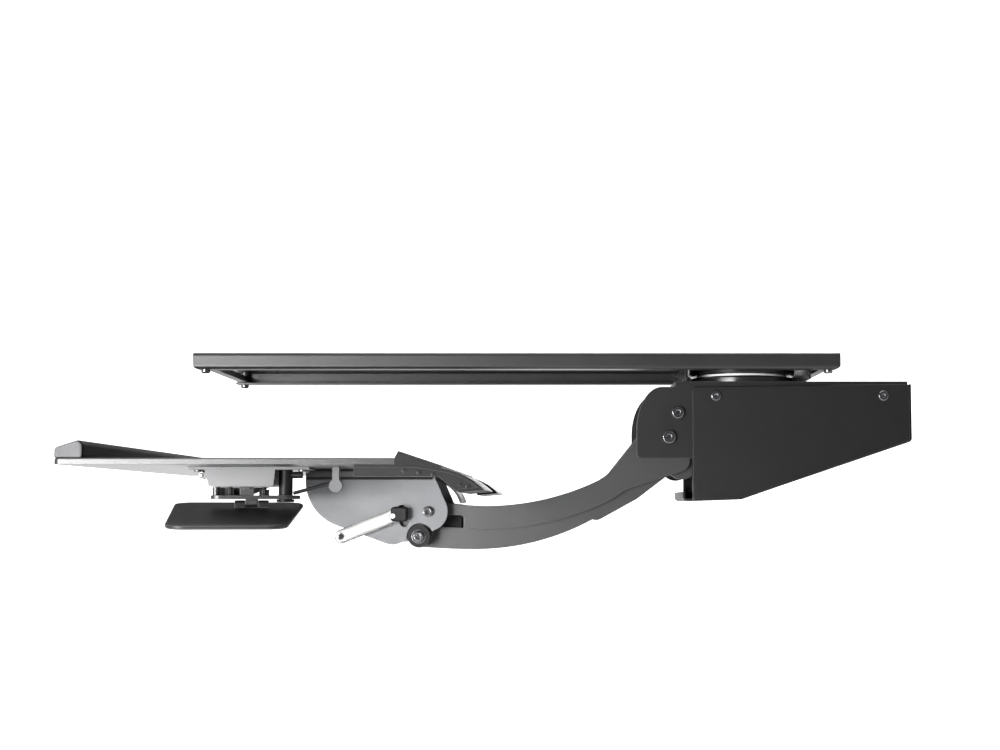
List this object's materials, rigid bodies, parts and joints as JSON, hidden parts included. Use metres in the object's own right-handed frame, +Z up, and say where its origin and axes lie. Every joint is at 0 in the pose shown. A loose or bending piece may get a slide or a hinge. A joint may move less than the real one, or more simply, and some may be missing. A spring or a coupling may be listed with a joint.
{
  "type": "keyboard tray under desk",
  "caption": "Height-adjusting keyboard tray on parallel arms under a sliding swivel rail, with padded palm rest, tilt lock lever and swing-out mouse platform.",
  "frame": {"origin": "centre of the rail's top face, which lies against the underside of the desk", "axes": "+X to the user's right, +Y towards the back of the desk, +Z up; the user sits at -Y"},
  "size_m": [0.5418, 0.7575, 0.1828],
  "materials": {
    "rail_steel": "satin powder coat",
    "dark_steel": "satin powder coat",
    "zinc_steel": "zinc plated",
    "tilt_steel": "satin, grey",
    "bright_steel": "nickel plated",
    "blackened_steel": "black oxide",
    "nylon_black": "moulded",
    "nylon_white": "moulded",
    "cover_plastic": "fine textured",
    "board_black": "phenolic board",
    "platform_plastic": "fine textured",
    "rest_foam": "closed-cell foam, fabric faced",
    "cylinder_paint": "gloss"
  },
  "bodies": {
    "rail": {"rail_channel": "rail_steel", "rail_stops": "dark_steel", "rail_stop_screws": "blackened_steel"},
    "carriage": {"carriage_plate": "zinc_steel", "glide_blocks": "nylon_black", "swivel_race_upper": "dark_steel", "swivel_ring": "nylon_white", "swivel_pivot": "zinc_steel"},
    "housing": {"swivel_race_lower": "dark_steel", "housing_frame": "dark_steel", "near_side_cover": "cover_plastic", "far_side_cover": "cover_plastic", "rear_cover": "dark_steel", "cover_screws": "blackened_steel", "lower_rear_pivot": "blackened_steel", "upper_rear_pivot": "blackened_steel", "pivot_bushes": "nylon_black", "spring_anchor_pin": "zinc_steel", "gas_spring_cylinder": "cylinder_paint"},
    "spring_rod": {"gas_spring_rod": "bright_steel"},
    "lower_arm_body": {"lower_arm": "dark_steel", "spring_arm_pin": "zinc_steel", "arm_bumper": "nylon_black"},
    "upper_arm_body": {"upper_arm": "dark_steel"},
    "head": {"head_yoke": "dark_steel", "lower_front_pivot": "blackened_steel", "upper_front_pivot": "blackened_steel", "head_washers": "nylon_black", "pivot_rings": "nylon_white", "clamp_shaft": "zinc_steel", "lever_hub": "nylon_black", "lever_pin": "zinc_steel"},
    "lever": {"tilt_lever": "bright_steel", "lever_plug": "nylon_black"},
    "tray": {"near_tilt_plate": "tilt_steel", "far_tilt_plate": "tilt_steel", "tray_support": "tilt_steel", "tray_board": "board_black", "palm_rest": "rest_foam", "keyboard_stop": "board_black", "near_wing": "dark_steel", "far_wing": "dark_steel", "near_wing_end": "dark_steel", "far_wing_end": "dark_steel", "wing_end_screws": "blackened_steel", "lip_trims": "nylon_black", "tray_screws": "blackened_steel", "cord_guide": "nylon_black", "cord_guide_clip": "nylon_black", "mouse_bracket": "tilt_steel", "bracket_roller": "nylon_white", "bracket_screws": "blackened_steel", "mouse_post": "nylon_black"},
    "mouse_arm": {"mouse_carrier": "dark_steel", "mouse_hinge_pin": "zinc_steel", "carrier_riser": "tilt_steel"},
    "front_thumbscrew": {"thumbscrew_front": "nylon_black"},
    "rear_thumbscrew": {"thumbscrew_rear": "nylon_black"},
    "platform": {"mouse_platform": "platform_plastic"}
  },
  "joints": [
    {"name": "carriage_slide", "type": "slide", "parent": "rail", "child": "carriage", "axis": [0, 1, 0], "range_m": [-0.444, 0.005]},
    {"name": "swivel", "type": "hinge", "parent": "carriage", "child": "housing", "pos_m": [0, 0.22, -0.0145], "axis": [0, 0, 1], "continuous": true},
    {"name": "lift", "type": "hinge", "parent": "housing", "child": "lower_arm_body", "pos_m": [0, 0.144, -0.076], "axis": [1, 0, 0], "range_deg": [-14, 25]},
    {"name": "upper_arm_rear_pivot", "type": "hinge", "parent": "housing", "child": "upper_arm_body", "pos_m": [0, 0.1525, -0.0528], "axis": [1, 0, 0], "range_deg": [-14, 25]},
    {"name": "head_leveller", "type": "hinge", "parent": "lower_arm_body", "child": "head", "pos_m": [0, -0.093, -0.17], "axis": [1, 0, 0], "range_deg": [-25, 14]},
    {"name": "spring_rod_slide", "type": "slide", "parent": "housing", "child": "spring_rod", "axis": [0, -0.9772, -0.2122], "range_m": [-0.0109, 0.0062]},
    {"name": "tilt", "type": "hinge", "parent": "head", "child": "tray", "pos_m": [0, -0.0845, -0.1468], "axis": [1, 0, 0], "range_deg": [-15, 10]},
    {"name": "lever_turn", "type": "hinge", "parent": "head", "child": "lever", "pos_m": [0.069, -0.1166, -0.151], "axis": [1, 0, 0], "range_deg": [-20, 40]},
    {"name": "mouse_swing", "type": "hinge", "parent": "tray", "child": "mouse_arm", "pos_m": [0.15, -0.2045, -0.134], "axis": [0, 0, 1], "range_deg": [-35, 85]},
    {"name": "front_thumbscrew_turn", "type": "hinge", "parent": "mouse_arm", "child": "front_thumbscrew", "pos_m": [0.15637, -0.25228, -0.1324], "axis": [0, 0, 1], "continuous": true},
    {"name": "rear_thumbscrew_turn", "type": "hinge", "parent": "mouse_arm", "child": "rear_thumbscrew", "pos_m": [0.15249, -0.22313, -0.1324], "axis": [0, 0, 1], "continuous": true},
    {"name": "mouse_tilt", "type": "hinge", "parent": "mouse_arm", "child": "platform", "pos_m": [0.1539, -0.23374, -0.1396], "axis": [-0.1323, 0.9912, 0], "range_deg": [-12, 6]}
  ],
  "couplings": [
    {"joint": "upper_arm_rear_pivot", "follows": "lift", "ratio": 1},
    {"joint": "head_leveller", "follows": "lift", "ratio": -1},
    {"joint": "spring_rod_slide", "follows": "lift", "m_per_rad": -0.0247}
  ]
}
